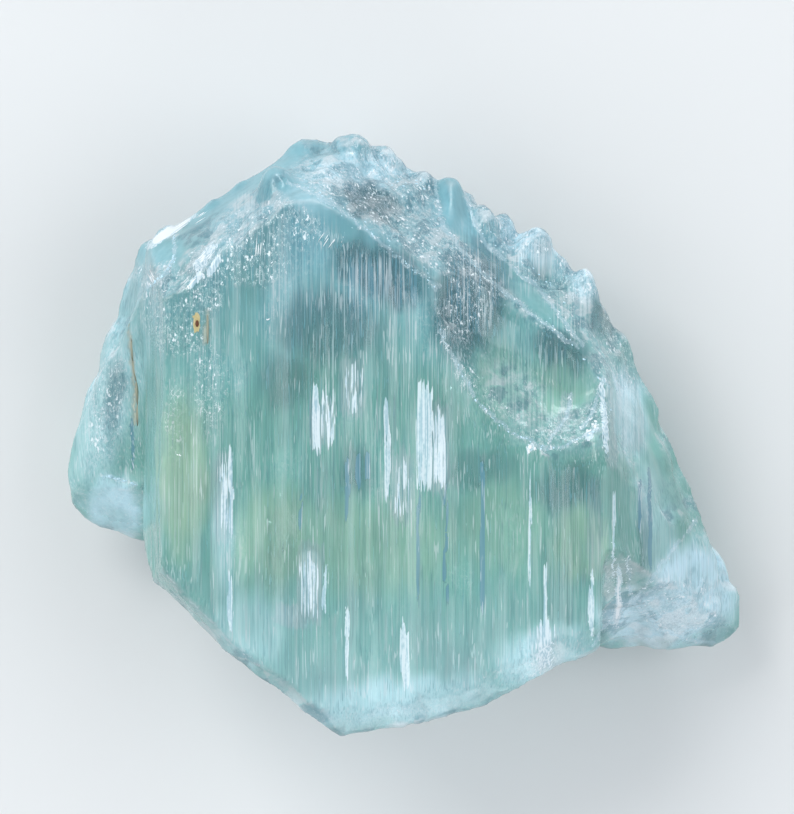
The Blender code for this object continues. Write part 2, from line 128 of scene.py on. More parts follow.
# Soft patches on the upper skin: x and y of the middle, half sizes along X and Y, lean in degrees
# and strength. Distances are in mm.
PATCHES = {
    # The flash patches paint the cleavages white: partly the cracks' own whiteness, partly a painted
    # reflection of the lamps in them.
    "flash": [
        (-20.4, 17.9, 2.6, 0.42, 36, 1.4), (-17.3, 15.4, 0.45, 1.5, -32, 1.0),
        (-16.6, 14.6, 0.3, 1.0, -32, 1.0), (-18.2, 13.4, 0.3, 0.9, -40, 1.0),
        (1.75, -0.4, 0.72, 4.7, 0, 1.0), (-1.55, -0.8, 0.26, 4.6, 0, 1.0),
        (-7.7, 1.6, 0.35, 3.0, 0, 1.0), (-15.0, -5.0, 0.16, 4.4, 0, 1.0),
        (-15.1, -14.4, 0.22, 2.6, 0, 1.0), (-6.9, -13.6, 0.16, 2.4, 0, 1.0),
        (0.0, -19.2, 0.38, 2.5, 0, 1.0), (-5.0, -18.4, 0.18, 3.4, 0, 1.0),
        (12.2, -18.4, 0.55, 2.2, 0, 1.0), (12.3, -15.0, 0.18, 3.6, 0, 1.0),
        (16.3, -15.0, 0.2, 3.2, 0, 1.0), (18.7, -14.6, 0.26, 2.7, 0, 1.4),
        (17.4, 1.4, 0.26, 3.4, 4, 0.9), (10.9, -8.0, 0.14, 6.0, 0, 0.9),
        (18.2, -8.6, 0.14, 4.0, 0, 0.9), (10.9, -1.2, 0.45, 0.35, 20, 0.9),
        (16.0, -0.1, 0.45, 0.4, 30, 1.0), (16.6, 0.6, 0.3, 0.3, 30, 0.9),
        (3.05, -1.3, 0.6, 3.6, 0, 0.64), (-6.7, 1.2, 0.8, 2.8, 0, 0.54),
        (-8.3, -13.3, 0.9, 3.0, 0, 0.58), (-15.6, -5.0, 0.6, 3.8, 0, 0.56),
        (-4.5, 4.0, 1.0, 2.4, 0, 0.48), (-0.2, -4.8, 0.9, 3.0, 0, 0.48),
        (12.2, -18.0, 1.0, 2.0, 0, 0.5),
    ],
    "veil": [
        (3.05, -1.2, 0.78, 3.7, 0, 1.0), (-7.3, 0.9, 1.0, 2.2, 0, 0.8), (-4.6, 4.0, 1.2, 2.6, 0, 0.5),
        (-0.2, -4.6, 1.1, 3.3, 0, 0.5), (-15.7, -5.4, 0.8, 4.1, 0, 0.55),
        (-8.2, -12.8, 1.1, 3.3, 0, 0.85), (-9.8, -15.8, 1.6, 1.0, -14, 0.5),
        (12.2, -18.6, 1.3, 2.0, 0, 0.5), (14.0, 1.9, 0.6, 1.7, -10, 0.7), (17.8, 1.0, 0.6, 3.8, 5, 0.7),
        (19.8, 1.4, 1.3, 3.4, 8, 0.35), (12.0, 15.4, 0.9, 1.8, 0, 0.5),
        (-17.3, 15.0, 1.2, 2.0, -32, 0.35), (-22.2, 13.6, 1.1, 1.2, 0, 0.3),
        (16.5, -8.0, 0.7, 4.6, 0, 0.35),
    ],
    "stain": [
        (-18.1, 9.7, 0.32, 0.85, 1, 1.0),
    ],
    # The gloom patches are painted shade: they darken the skin towards deep blue where it lies in shadow,
    # such as the valley below the crest.
    "gloom": [
        (-3.2, 20.5, 2.8, 1.6, -30, 1.15), (-2.0, 14.0, 4.4, 2.4, -25, 0.85),
        (5.8, 11.6, 3.0, 5.0, -20, 1.0), (13.7, 7.4, 2.6, 1.7, -30, 0.8),
        (-6.6, 9.4, 4.6, 3.2, 0, 0.55), (6.4, -3.0, 3.4, 1.6, 0, 0.35), (14.4, -4.8, 3.0, 2.0, 0, 0.55),
        (17.6, 11.0, 1.6, 2.6, 0, 0.6), (-25.4, 3.4, 0.7, 3.2, -8, 0.6), (-4.0, -3.2, 1.3, 2.0, 0, 0.4),
        (20.8, -8.6, 0.6, 4.0, 0, 0.5), (-10.5, 4.6, 2.2, 2.6, 0, 0.4),
    ],
    "pale": [
        (-25.6, -6.9, 2.6, 3.6, 0, 0.9), (-0.4, -23.2, 9.0, 2.2, 6, 0.6),
        (11.9, -19.4, 4.6, 2.8, 18, 0.6), (-13.6, -17.0, 3.4, 3.4, 0, 0.4),
        (22.0, -7.0, 1.8, 5.4, 12, 0.45), (25.4, -13.6, 4.2, 4.4, -30, 1.25),
        (22.4, -16.0, 5.4, 2.8, 0, 1.25), (19.6, 2.0, 1.8, 4.4, 8, 0.65),
        (0.2, 23.6, 2.6, 1.6, -20, 0.6), (12.0, 16.6, 4.2, 2.2, -35, 0.75),
        (16.2, 13.4, 2.2, 2.0, -40, 0.7), (-24.6, 11.0, 1.4, 5.0, -24, 0.5),
        (-26.4, 2.0, 3.0, 9.0, -14, 0.55), (-4.0, 23.0, 5.0, 1.8, 8, 0.55),
        (-15.6, -9.6, 1.0, 5.0, 0, 0.45), (-8.4, 20.6, 2.2, 1.8, 0, 0.35),
    ],
    "green": [
        (-19.3, -3.6, 2.2, 6.8, 0, 1.4), (-11.2, -9.0, 3.6, 4.4, 0, 0.9),
        (-2.4, -9.6, 7.5, 4.2, 0, 0.7), (8.6, -8.2, 4.0, 4.0, 0, 0.55), (15.2, -9.6, 2.8, 3.2, 0, 0.9),
        (8.4, 4.4, 2.0, 3.2, 0, 0.5), (12.8, 3.6, 3.6, 2.8, 0, 0.5),
    ],
    # The sparkle patches gather the painted glints and sparks and the crumbly texture.
    "sparkle": [
        (-21.8, 13.6, 1.8, 2.4, 0, 1.0), (-17.6, 12.6, 2.0, 3.8, -20, 1.0),
        (-19.8, 9.4, 3.0, 2.6, 0, 0.8), (-13.0, 15.6, 2.8, 3.0, 0, 0.8), (-9.6, 18.6, 2.8, 2.4, 0, 0.7),
        (-5.0, 21.4, 3.8, 1.6, -20, 0.7), (0.0, 18.4, 3.4, 2.4, -40, 0.8),
        (3.2, 15.4, 3.0, 2.2, -40, 0.7), (5.6, 11.6, 2.6, 3.6, -20, 0.55),
        (5.4, 4.8, 1.2, 1.6, 30, 0.8), (-1.0, 23.6, 3.4, 1.6, -30, 1.0),
        (1.4, 22.0, 1.8, 1.8, -40, 1.0), (9.6, 18.6, 4.4, 1.8, -35, 1.1),
        (15.4, 14.2, 2.4, 2.2, -45, 1.1), (12.4, 11.6, 1.8, 3.4, 30, 0.4),
        (8.4, 2.2, 2.4, 0.6, -35, 0.5), (12.6, -0.2, 3.0, 0.6, 0, 0.6), (16.4, 1.2, 1.4, 1.0, 30, 0.6),
        (-17.0, 4.0, 1.6, 4.6, 0, 0.4), (-19.8, 1.0, 1.0, 4.0, 0, 0.35),
        (-26.0, 2.6, 1.6, 5.0, -10, 0.7), (-10.2, -9.4, 2.0, 3.8, 0, 0.3),
        (24.6, -15.0, 4.0, 2.6, 0, 0.5), (18.6, 8.0, 1.4, 5.0, 10, 0.6),
    ],
    "seam": [
        (6.8, -8.4, 0.19, 6.4, 0, 1.0), (21.4, -8.0, 0.17, 4.2, 0, 1.0),
        (20.5, -6.0, 0.13, 2.2, 0, 0.9), (-4.9, -4.8, 0.14, 2.8, 0, 0.9),
        (-4.0, -3.0, 0.22, 1.5, 0, 1.0), (-3.2, -2.6, 0.16, 1.2, 0, 0.9),
        (1.2, -9.6, 0.12, 5.0, 0, 0.75), (3.6, -9.8, 0.12, 5.6, 0, 0.7),
        (-9.0, -6.0, 0.12, 2.2, 0, 0.75), (-23.9, -1.0, 0.14, 2.6, 0, 0.7),
    ],
    "comb": [
        (5.8, 13.0, 2.8, 5.0, 0, 1.0), (-2.2, 12.6, 4.8, 3.8, 0, 0.95), (9.9, 14.4, 3.2, 2.2, 0, 0.9),
        (14.4, 10.7, 2.2, 2.4, 0, 0.9), (-7.2, 0.0, 2.4, 8.6, 0, 0.6), (-0.4, -1.4, 4.2, 7.4, 0, 0.65),
        (-13.8, 17.9, 1.8, 3.0, 0, 0.6), (-9.6, 14.4, 3.6, 4.6, 0, 0.4), (11.4, 4.6, 4.6, 4.6, 0, 0.65),
        (14.5, -9.3, 3.0, 7.6, 0, 0.5), (-17.6, -4.0, 3.4, 8.0, 0, 0.35), (19.6, 0.0, 1.8, 6.0, 0, 0.5),
    ],
}

# The patches with sharp, frayed outlines. The others fade out softly.
SHARP_PATCHES = ("flash", "veil", "stain", "seam")

# How far crumbled lines and cracks reach from their routes, how far the skin stands out of the solid
# and how high its flat base reaches, in mm.
RIM_REACH = 0.4
CRACK_REACH = 0.26
SWELL = 0.03
FLAT_BASE = 0.12

# Stained cracks: the route in mm.
CRACKS = [
    [(-24.2, 9.2), (-23.9, 7.4), (-23.7, 4.6), (-23.6, 0.8)],
    [(-17.2, 10.7), (-17.2, 7.8)],
]

# Edges that are both crumbled and chipped, as routes in mm: the lower rim of the hollow beside the
# crest, the step on the upper left shoulder, the crest's lower edge and the ledge on the left side.
HOLLOW_RIM = [
    (3.1, 9.1), (4.4, 6.3), (6.4, 2.8), (8.4, 0.8), (10.1, -0.2),
    (11.9, -1.1), (13.7, -1.2), (15.9, 0.0), (17.3, 0.5),
]
SHOULDER_STEP = [(-20.1, 17.4), (-20.1, 15.0), (-21.2, 13.6), (-22.4, 12.8)]
CREST_EDGE = [(-10.1, 21.9), (-6.5, 20.2), (-3.0, 17.5), (-0.4, 15.2), (3.1, 12.6)]
LEFT_LEDGE = [(-26.6, -3.7), (-25.0, -4.0), (-23.6, -4.5)]

# Crumbled lines where smooth stretches end: the route in mm.
RIMS = [
    HOLLOW_RIM,
    [(14.6, 3.4), (14.1, 1.4), (12.6, -0.6)],
    [(17.4, 5.0), (16.6, 2.4), (15.4, 0.4)],
    [(3.3, 18.2), (5.8, 15.1), (8.5, 12.5), (12.8, 9.1), (15.2, 7.4)],
    [(5.8, 19.6), (6.9, 16.9), (9.8, 14.3), (12.3, 12.2), (14.0, 9.6), (15.6, 7.8)],
    CREST_EDGE,
    [(2.6, 22.9), (2.9, 20.4), (3.3, 18.2)],
    [(4.9, 22.8), (5.8, 19.6)],
    SHOULDER_STEP,
    LEFT_LEDGE,
    [(16.2, -18.5), (20.4, -14.0), (25.6, -7.6)],
    [(19.4, -10.8), (19.8, -14.4), (22.4, -17.4), (27.6, -18.6)],
]

# Chipped edges: the route in mm, how far the chips stray, their size and how many to a millimetre.
CHIPPED_EDGES = [
    ([*HOLLOW_RIM, (18.2, 2.5), (18.8, 4.7)], 0.25, 0.05, 2.5),
    (SHOULDER_STEP, 0.15, 0.07, 6.0),
    (CREST_EDGE, 0.7, 0.06, 3.0),
    ([(3.1, 17.7), (6.6, 13.9), (10.1, 10.9), (13.7, 9.0), (17.2, 4.7)], 0.5, 0.05, 1.5),
    ([(-1.0, 22.6), (2.0, 21.2)], 0.7, 0.07, 5.0),
    ([(6.8, 18.0), (9.2, 15.6), (12.6, 13.2), (15.2, 10.6)], 0.6, 0.05, 2.0),
    (LEFT_LEDGE, 0.12, 0.08, 7.0),
]

# Iron-stained grains and their brown core: x and y, width, length, thickness and depth, in mm.
IRON_GRAINS = [(-18.15, 9.7, 0.45, 1.1, 0.24, 0.16), (-18.0, 9.3, 0.35, 0.8, 0.24, 0.14)]
IRON_CORE = (-18.0, 9.6, 0.32, 0.6, 0.2, -0.03)
IRON_BROWN = (0.12, 0.035, 0.01)

# The film in the stained cracks: the routes, width and thickness in mm, and how far each piece runs on.
CRACK_FILMS = [
    ([(-24.1, 9.6), (-23.9, 8.2), (-23.8, 6.4), (-23.5, 4.6), (-23.4, 2.6), (-23.4, 0.8)], 0.32, 0.06, 0.15),
    ([(-17.1, 10.6), (-17.1, 7.6)], 0.26, 0.08, 0.0),
]
CRACK_TAN = (0.36, 0.37, 0.28)

# The noises that the stone's patterns are made of: the size of a blot along X, Y and Z in mm, the
# detail and the shift.
BLOTS = {
    "cloud": ((5, 8, 5), 2, 0.0),
    "gather": ((2.2, 7, 2.2), 1, 4.4),
    "streak": ((0.7, 14, 0.7), 2, 5.3),
    "line": ((0.16, 60, 0.16), 0, 8.1),
    "dash": ((0.12, 2.4, 0.12), 0, 11.7),
    "hair": ((0.11, 30, 0.11), 1, 21.1),
    "reed": ((0.15, 6, 5), 0, 33.3),
    "crinkle": ((0.17, 0.38, 0.20), 2, 14.9),
    "billow": ((1.5, 1.9, 1.5), 2, 27.7),
}
CRUMB = (0.24, 0.36, 0.24)

# The small knob on the left of the crest, and how far from its middle it is rounded, in mm.
KNOB = Vector((-11.5, 22.2))
KNOB_REACH = 1.8

# The lamps: name, place, width and height in metres, power in watts and colour.
LAMPS = [
    ("softbox", (-0.38, 0.42, 0.62), (0.42, 0.42), 3.0, (1.0, 0.99, 0.97)),
    ("strip_left", (-0.62, -0.05, 0.48), (0.5, 0.9), 2.3, (0.95, 0.98, 1.0)),
    ("strip_right", (0.60, 0.0, 0.52), (0.5, 0.9), 2.5, (0.95, 0.98, 1.0)),
    ("front_fill", (0.12, -0.70, 0.34), (0.6, 0.3), 1.3, (0.96, 0.98, 1.0)),
    ("back_rim", (0.15, 0.75, 0.30), (0.5, 0.10), 1.2, (0.9, 0.97, 1.0)),
]
CAMERA_SPOT = (-0.65 * MM, 2.36 * MM)
SKY = (0.90, 0.95, 1.0, 1)
SKY_STRENGTH = 0.40


def colour_property(name, description, default):
    return FloatVectorProperty(name=name, description=description, default=default, subtype="COLOR")


def length_property(name, description, default):
    return FloatProperty(name=name, description=description, default=default, unit="LENGTH", precision=5)


class CrystalSettings(bpy.types.PropertyGroup):
    """Sizes and colours of the stone's skin and body."""

    grain: length_property("Grain", "Mesh size across the striations", 0.257 * MM)
    stretch: FloatProperty(
        name="Grain Stretch", description="How much longer the mesh's cells are along the striations",
        default=1.7,
    )
    striation_depth: length_property("Striation Depth", "Height of the prism's growth lines", 0.08 * MM)
    etch_depth: length_property("Etch Depth", "Height of the termination's etch hills", 0.20 * MM)
    break_depth: length_property("Break Depth", "Height of the root's shell-shaped ripples", 0.24 * MM)
    ripple_depth: length_property("Ripple Depth", "Height of the finest lines and crumbs", 0.06 * MM)
    blue: colour_property("Tip Blue", "Colour of the termination end", (0.28, 0.63, 0.74))
    teal: colour_property("Body Teal", "Colour of the middle", (0.27, 0.65, 0.58))
    green: colour_property("Zone Green", "Colour of the yellow-green growth zone", (0.56, 0.88, 0.62))
    root: colour_property("Root Blue", "Colour of the root end", (0.50, 0.88, 0.90))
    lavender: colour_property("Lavender", "Colour of the pale broken facets", (0.62, 0.87, 1.0))
    # Deep Blue is also the colour of the painted shade: the gloom patches, the shaded facets and grooves and
    # the shade beside the glints.
    gloom: colour_property("Deep Blue", "Colour of the deep clear patches", (0.09, 0.23, 0.31))
    # Ice White is also the colour of the painted highlights: glints, sparks, lit facets, lit edges and the
    # flashes' reflections.
    ice: colour_property("Ice White", "Colour of flashes and specks", (0.88, 0.95, 1.0))
    pearl: colour_property("Pearl", "Colour of the flashes' bright lines", (0.76, 0.86, 0.92))
    veil: colour_property("Veil Grey", "Colour of the flashes' fine dark lines", (0.40, 0.58, 0.68))
    ochre: colour_property("Ochre", "Colour of the iron-stained grain", (0.58, 0.42, 0.14))
    tan: colour_property("Tan", "Colour of the stained cracks", (0.46, 0.40, 0.28))
    absorption: colour_property(
        "Absorption Colour", "Light that a long path through the stone keeps", (0.20, 0.60, 0.573)
    )
    density: FloatProperty(
        name="Absorption Density", description="Strength of the body colour, per metre", default=30.0
    )
    ior: FloatProperty(name="IOR", description="Refractive index of beryl", default=1.575)


class InsideSettings(bpy.types.PropertyGroup):
    """What shows inside the stone."""

    tubes: IntProperty(name="Growth Tubes", description="How many pale growth tubes", default=240, min=0)
    tube_radius: length_property("Tube Radius", "Radius of a middling growth tube", 0.035 * MM)
    white: colour_property("Flash White", "Colour of cleavage flashes", (0.92, 0.97, 1.0))
    dark: colour_property("Tube Dark", "Colour of the dark growth tubes", (0.05, 0.11, 0.12))
    ochre: colour_property("Iron Ochre", "Colour of the iron stain", (0.62, 0.34, 0.05))


class StageSettings(bpy.types.PropertyGroup):
    """The floor, the light and the camera."""

    floor: colour_property("Floor", "Colour of the floor", (0.74, 0.75, 0.76))
    floor_side: length_property("Floor Side", "Length of the floor's side", 3.0)
    distance: length_property("Camera Distance", "From the middle of the stone to the camera", 1.0)
    view_height: length_property("View Height", "Height of the camera's view at the stone", 0.0715)


class Signal:
    """A shader socket that takes part in plain arithmetic."""

    def __init__(self, tree, socket):
        self.tree = tree
        self.socket = socket

    def math(self, operation, *values):
        step = self.tree.nodes.new("ShaderNodeMath")
        step.operation = operation
        for entry, value in zip(step.inputs, values):
            plug(self.tree, entry, value)
        return Signal(self.tree, step.outputs[0])

    def __add__(self, other):
        return self.math("ADD", self, other)

    def __sub__(self, other):
        return self.math("SUBTRACT", self, other)

    def __rsub__(self, other):
        return self.math("SUBTRACT", other, self)

    def __mul__(self, other):
        return self.math("MULTIPLY", self, other)

    def __truediv__(self, other):
        return self.math("DIVIDE", self, other)

    def __abs__(self):
        return self.math("ABSOLUTE", self)

    __radd__ = __add__
    __rmul__ = __mul__

    def above(self, low, high):
        """0 below low, 1 above high, smooth between."""
        step = self.tree.nodes.new("ShaderNodeMapRange")
        step.interpolation_type = "SMOOTHSTEP"
        for name, value in (("Value", self), ("From Min", low), ("From Max", high)):
            plug(self.tree, step.inputs[name], value)
        return Signal(self.tree, step.outputs[0])

    def clipped(self):
        return self.math("MINIMUM", self.math("MAXIMUM", self, 0.0), 1.0)


def plug(tree, entry, value):
    if isinstance(value, Signal):
        tree.links.new(value.socket, entry)
    elif entry.type == "RGBA" and len(value) == 3:
        entry.default_value = (*value, 1.0)
    else:
        entry.default_value = value


class Shader:
    """A material under construction."""

    def __init__(self, name):
        self.material = bpy.data.materials.new(name)
        self.material.use_nodes = True
        self.tree = self.material.node_tree
        self.tree.nodes.clear()

    def node(self, kind, settings=None, inputs=None, output=0):
        made = self.tree.nodes.new(kind)
        for name, value in (settings or {}).items():
            if name == "stops":
                set_stops(made.color_ramp, value)
            else:
                setattr(made, name, value)
        for name, value in (inputs or {}).items():
            plug(self.tree, made.inputs[name], value)
        return Signal(self.tree, made.outputs[output])

    def scaled(self, place, size, shift=0.0):
        """The place counted in steps of the given size in mm along X, Y and Z."""
        scale = tuple(1 / (side * MM) for side in size)
        return self.node(
            "ShaderNodeMapping", inputs={"Vector": place, "Location": (shift, shift, shift), "Scale": scale}
        )

    def stretched_noise(self, place, size, detail, shift=0.0):
        """Noise whose blots have the given size in mm."""
        return self.node(
            "ShaderNodeTexNoise",
            inputs={
                "Vector": self.scaled(place, size, shift), "Scale": 1.0, "Detail": detail, "Roughness": 0.5,
            },
        )

    def crumbs(self, place, size):
        """A random share for each flat-sided crumb of the given size in mm."""
        cell = self.node(
            "ShaderNodeTexVoronoi", inputs={"Vector": self.scaled(place, size), "Scale": 1.0}, output="Color"
        )
        return self.node("ShaderNodeSeparateColor", inputs={"Color": cell})

    def mix(self, share, first, second):
        return self.node(
            "ShaderNodeMix",
            settings={"data_type": "RGBA"},
            inputs={0: share, 6: first, 7: second},
            output=2,
        )

    def finish(self, surface, volume=None):
        end = self.tree.nodes.new("ShaderNodeOutputMaterial")
        plug(self.tree, end.inputs["Surface"], surface)
        if volume:
            plug(self.tree, end.inputs["Volume"], volume)
        return self.material


def set_stops(ramp, stops):
    for index, (position, colour) in enumerate(stops):
        element = ramp.elements[index] if index < 2 else ramp.elements.new(position)
        element.position = position
        element.color = (*colour, 1.0)


def smooth_step(low, high, value):
    share = np.clip((value - low) / (high - low), 0.0, 1.0)
    return share * share * (3 - 2 * share)


def evaluated(thing):
    graph = bpy.context.evaluated_depsgraph_get()
    return bpy.data.meshes.new_from_object(thing.evaluated_get(graph))


def opened(mesh):
    """The mesh as a bmesh."""
    bm = bmesh.new()
    bm.from_mesh(mesh)
    return bm


def closed(name, bm):
    """The bmesh as a new mesh."""
    mesh = bpy.data.meshes.new(name)
    bm.to_mesh(mesh)
    bm.free()
    return mesh


def placed(name, data):
    """A new object in the scene."""
    made = bpy.data.objects.new(name, data)
    bpy.context.scene.collection.objects.link(made)
    return made


def add_piece(name, mesh, material):
    """A piece of the crystal, riding on its body and taking its finish from its slot."""
    piece = placed(name, mesh)
    mesh.materials.clear()
    mesh.materials.append(material)
    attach(piece, BODY)
    return piece


def bmesh_piece(name, bm, material, smooth=True):
    mesh = closed(name, bm)
    for face in mesh.polygons:
        face.use_smooth = smooth
    return add_piece(name, mesh, material)


# The skin


def gap_to_run(x, y, start, end):
    """How far each spot is from a straight run, in mm."""
    (x1, y1), (x2, y2) = start, end
    run_x, run_y = x2 - x1, y2 - y1
    along = np.clip(((x - x1) * run_x + (y - y1) * run_y) / (run_x**2 + run_y**2), 0, 1)
    return np.hypot(x - x1 - run_x * along, y - y1 - run_y * along)


def away_from_polish(x, y):
    """0 on the polished strips and 1 well away from them."""
    share = np.ones_like(x)
    for x1, y1, x2, y2, half_width in POLISHED:
        gap = gap_to_run(x, y, (x1, y1), (x2, y2))
        share *= smooth_step(half_width * 0.6, half_width + 0.6, gap)
    return share


def patch_share(x, y, patches, corners=2, frayed=0):
    """How strongly soft ovals, or squarer patches with frayed ends if they don't lean, cover each spot."""
    share = np.zeros_like(x)
    for middle_x, middle_y, half_x, half_y, lean, strength in patches:
        turn = math.radians(lean)
        offset_x, offset_y = x - middle_x, y - middle_y + (0 if lean else frayed)
        along = offset_x * math.cos(turn) + offset_y * math.sin(turn)
        across = offset_y * math.cos(turn) - offset_x * math.sin(turn)
        reach = (np.abs(along / half_x) ** corners + np.abs(across / half_y) ** corners) ** (1 / corners)
        share = np.maximum(share, strength * (1 - smooth_step(0.55, 1.35, reach)))
    return share


def noise_field(places, size, shift=0.0):
    """-1 to 1 at each place, in blots of the given size along X, Y and Z, in mm."""
    scaled = places / np.array(size) + shift
    return np.array([noise.noise(Vector(spot)) for spot in scaled])


def growth_lines(places):
    """Flutes, sharp-edged steps and fine lines along Y that rise and die away."""
    flutes = noise_field(places, (2.2, 34, 2.2))
    fine = noise_field(places, (0.7, 14, 0.7), 9.0)
    level = noise_field(places, (3.0, 26, 3.0), 31.0) * 3
    part = level - np.floor(level)
    steps = np.floor(level) + smooth_step(0.0, 0.2, part)
    return 0.4 * flutes + 0.2 * fine + 0.12 * steps


def facets(places, facet, hill, shift=0.0):
    """Gentle hills cut into flat facets, -1 to 1, and a painted light and shade tone for each facet, from
    how its tilt faces one side. Sizes are in mm.
    """
    ratio = facet / hill
    nudge = 0.05
    axes = [Vector(axis) * nudge for axis in ((1, 0, 0), (0, 1, 0), (0, 0, 1))]
    planes = {}
    heights, lit_tones = [], []
    for spot in places / facet + shift:
        spot = Vector(spot)
        centre = noise.voronoi(spot)[1][0]
        key = centre.to_tuple(4)
        if key not in planes:
            on_hill = centre * ratio
            slope = [
                (noise.noise(on_hill + axis) - noise.noise(on_hill - axis)) / (2 * nudge) for axis in axes
            ]
            planes[key] = noise.noise(on_hill), Vector(slope)
        level, slope = planes[key]
        heights.append(level + slope.dot(spot - centre) * ratio)
        # Painted light and shade: the tone follows the facet's tilt towards one side, so facets turned that
        # way are painted lighter and the rest darker.
        lit_tones.append(slope.x - slope.y)
    return np.array(heights), np.array(lit_tones)


def etch_hills(places):
    """Angular etch hills with fine lines between them."""
    lines = noise_field(places, (0.6, 6, 0.6), 6.0)
    large, large_lit_tone = facets(places, 1.3, 2.8)
    small, small_lit_tone = facets(places, 0.7, 1.1, 9.0)
    # The second share is the facets' painted light and shade tone.
    return large + 0.35 * small + 0.2 * lines, large_lit_tone * 0.7 + small_lit_tone * 0.6


def broken_facets(places):
    """Large uneven facets with faint shell-shaped ripples."""
    rings = np.linalg.norm(places - np.array((4.0, -30.0, 18.0)), axis=1)
    warp = 1.6 * noise_field(places, (3.5, 3.5, 3.5))
    strength = noise_field(places, (5, 5, 5), 7.0)
    ripples = np.sin((rings + warp) * 2.6) * strength
    large, large_lit_tone = facets(places, 2.8, 6.0, 2.0)
    small, small_lit_tone = facets(places, 1.2, 2.4, 5.0)
    # The second share is the facets' painted light and shade tone.
    return 1.3 * large + 0.5 * small + 0.25 * ripples, large_lit_tone * 0.7 + small_lit_tone * 0.4


def near_routes(x, y, routes, half_width):
    """1 on the routes, falling to 0 at the half width from them."""
    near = np.zeros_like(x)
    for route in routes:
        for start, end in zip(route, route[1:]):
            near = np.maximum(near, 1 - smooth_step(0, half_width, gap_to_run(x, y, start, end)))
    return near


def smooth(bm, verts, times):
    for _ in range(times):
        bmesh.ops.smooth_vert(bm, verts=verts, factor=0.5, use_axis_x=True, use_axis_y=True, use_axis_z=True)


def hollow_spots(bm):
    """The floor of the scooped hollow beside the crest."""
    bm.normal_update()
    return [
        vert for vert in bm.verts
        if 4 < vert.co.x / MM < 18.6 and -1 < vert.co.y / MM < 12.5
        and vert.co.z > 12 * MM and vert.normal.z > 0
    ]


def skin_mesh(settings):
    """The crystal's solid at an even fine grain, with cells that are long along the striations."""
    bm = opened(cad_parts[NODE].data)
    bmesh.ops.remove_doubles(bm, verts=bm.verts, dist=0.001 * MM)
    smooth(bm, hollow_spots(bm), 14)
    squeeze = Matrix.Diagonal((1, 1 / settings.stretch, 1, 1))
    bm.transform(squeeze)
    blank = placed("skin", closed("skin", bm))
    remesh = blank.modifiers.new("grain", "REMESH")
    remesh.mode = "VOXEL"
    remesh.voxel_size = settings.grain
    fine = evaluated(blank)
    bpy.data.objects.remove(blank)
    fine.transform(squeeze.inverted())
    return fine


def soften(mesh):
    """Rounds the solid's facets, most of all the scooped hollow and the etched crest."""
    bm = opened(mesh)
    hollow = hollow_spots(bm)
    etched = [vert for vert in bm.verts if vert.normal.y > 0.25]
    smooth(bm, bm.verts, 2)
    front = [vert for vert in bm.verts if vert.normal.z > 0.85 and abs(vert.normal.y) < 0.25]
    smooth(bm, front, 6)
    smooth(bm, etched, 1)
    knob = [vert for vert in bm.verts if (vert.co.xy / MM - KNOB).length < KNOB_REACH]
    smooth(bm, knob, 16)
    smooth(bm, hollow, 20)
    bm.to_mesh(mesh)
    bm.free()
    mesh.update()


def sharpness(mesh):
    """How far each spot stands out of its surroundings, from -1 in grooves to 1 on edges."""
    bm = opened(mesh)
    bm.normal_update()
    before = [vert.co.copy() for vert in bm.verts]
    normals = [vert.normal.copy() for vert in bm.verts]
    smooth(bm, bm.verts, 5)
    sharp = [(old - vert.co).dot(normal) for old, vert, normal in zip(before, bm.verts, normals)]
    bm.free()
    return np.clip(np.array(sharp) / (0.10 * MM), -1, 1)


def vertex_vectors(mesh, name):
    """One of the mesh's vectors for each vertex, as rows."""
    values = np.empty(len(mesh.vertices) * 3, dtype=np.float64)
    mesh.vertices.foreach_get(name, values)
    return values.reshape(-1, 3)


def raise_relief(mesh, settings, spots, normals):
    """Moves the skin by its fine relief and gives each spot's kind of surface."""
    places = spots / MM
    x, y, z = places.T
    prism = 1 - smooth_step(0.25, 0.55, np.abs(normals[:, 1]))
    etched = smooth_step(0.2, 0.5, normals[:, 1])
    broken = smooth_step(0.3, 0.6, -normals[:, 1])
    rough = 1 - smooth_step(6, 8, z) * (1 - away_from_polish(x, y))
    height = prism * settings.striation_depth * growth_lines(places)
    # The facets' painted light and shade, lighter or darker by their tilt, goes to the facet layer.
    facet_light_shade = np.zeros(len(places))
    for share, depth, relief in (
        (etched, settings.etch_depth, etch_hills),
        (broken, settings.break_depth, broken_facets),
    ):
        there = share > 0
        raised, lit_tones = relief(places[there])
        height[there] += share[there] * depth * raised
        facet_light_shade[there] += share[there] * lit_tones
    height = (height * rough + SWELL * MM) * smooth_step(0.1, 1.2, z)
    moved = spots + normals * height[:, None]
    moved[spots[:, 2] < FLAT_BASE * MM, 2] = LOW.z
    moved = np.clip(moved, np.array(LOW), np.array(HIGH))
    mesh.vertices.foreach_set("co", moved.ravel())
    return {
        "etched": etched,
        "broken": broken,
        "polished": 1 - rough,
        "edge": sharpness(mesh),
        "facet": facet_light_shade * rough,
    }


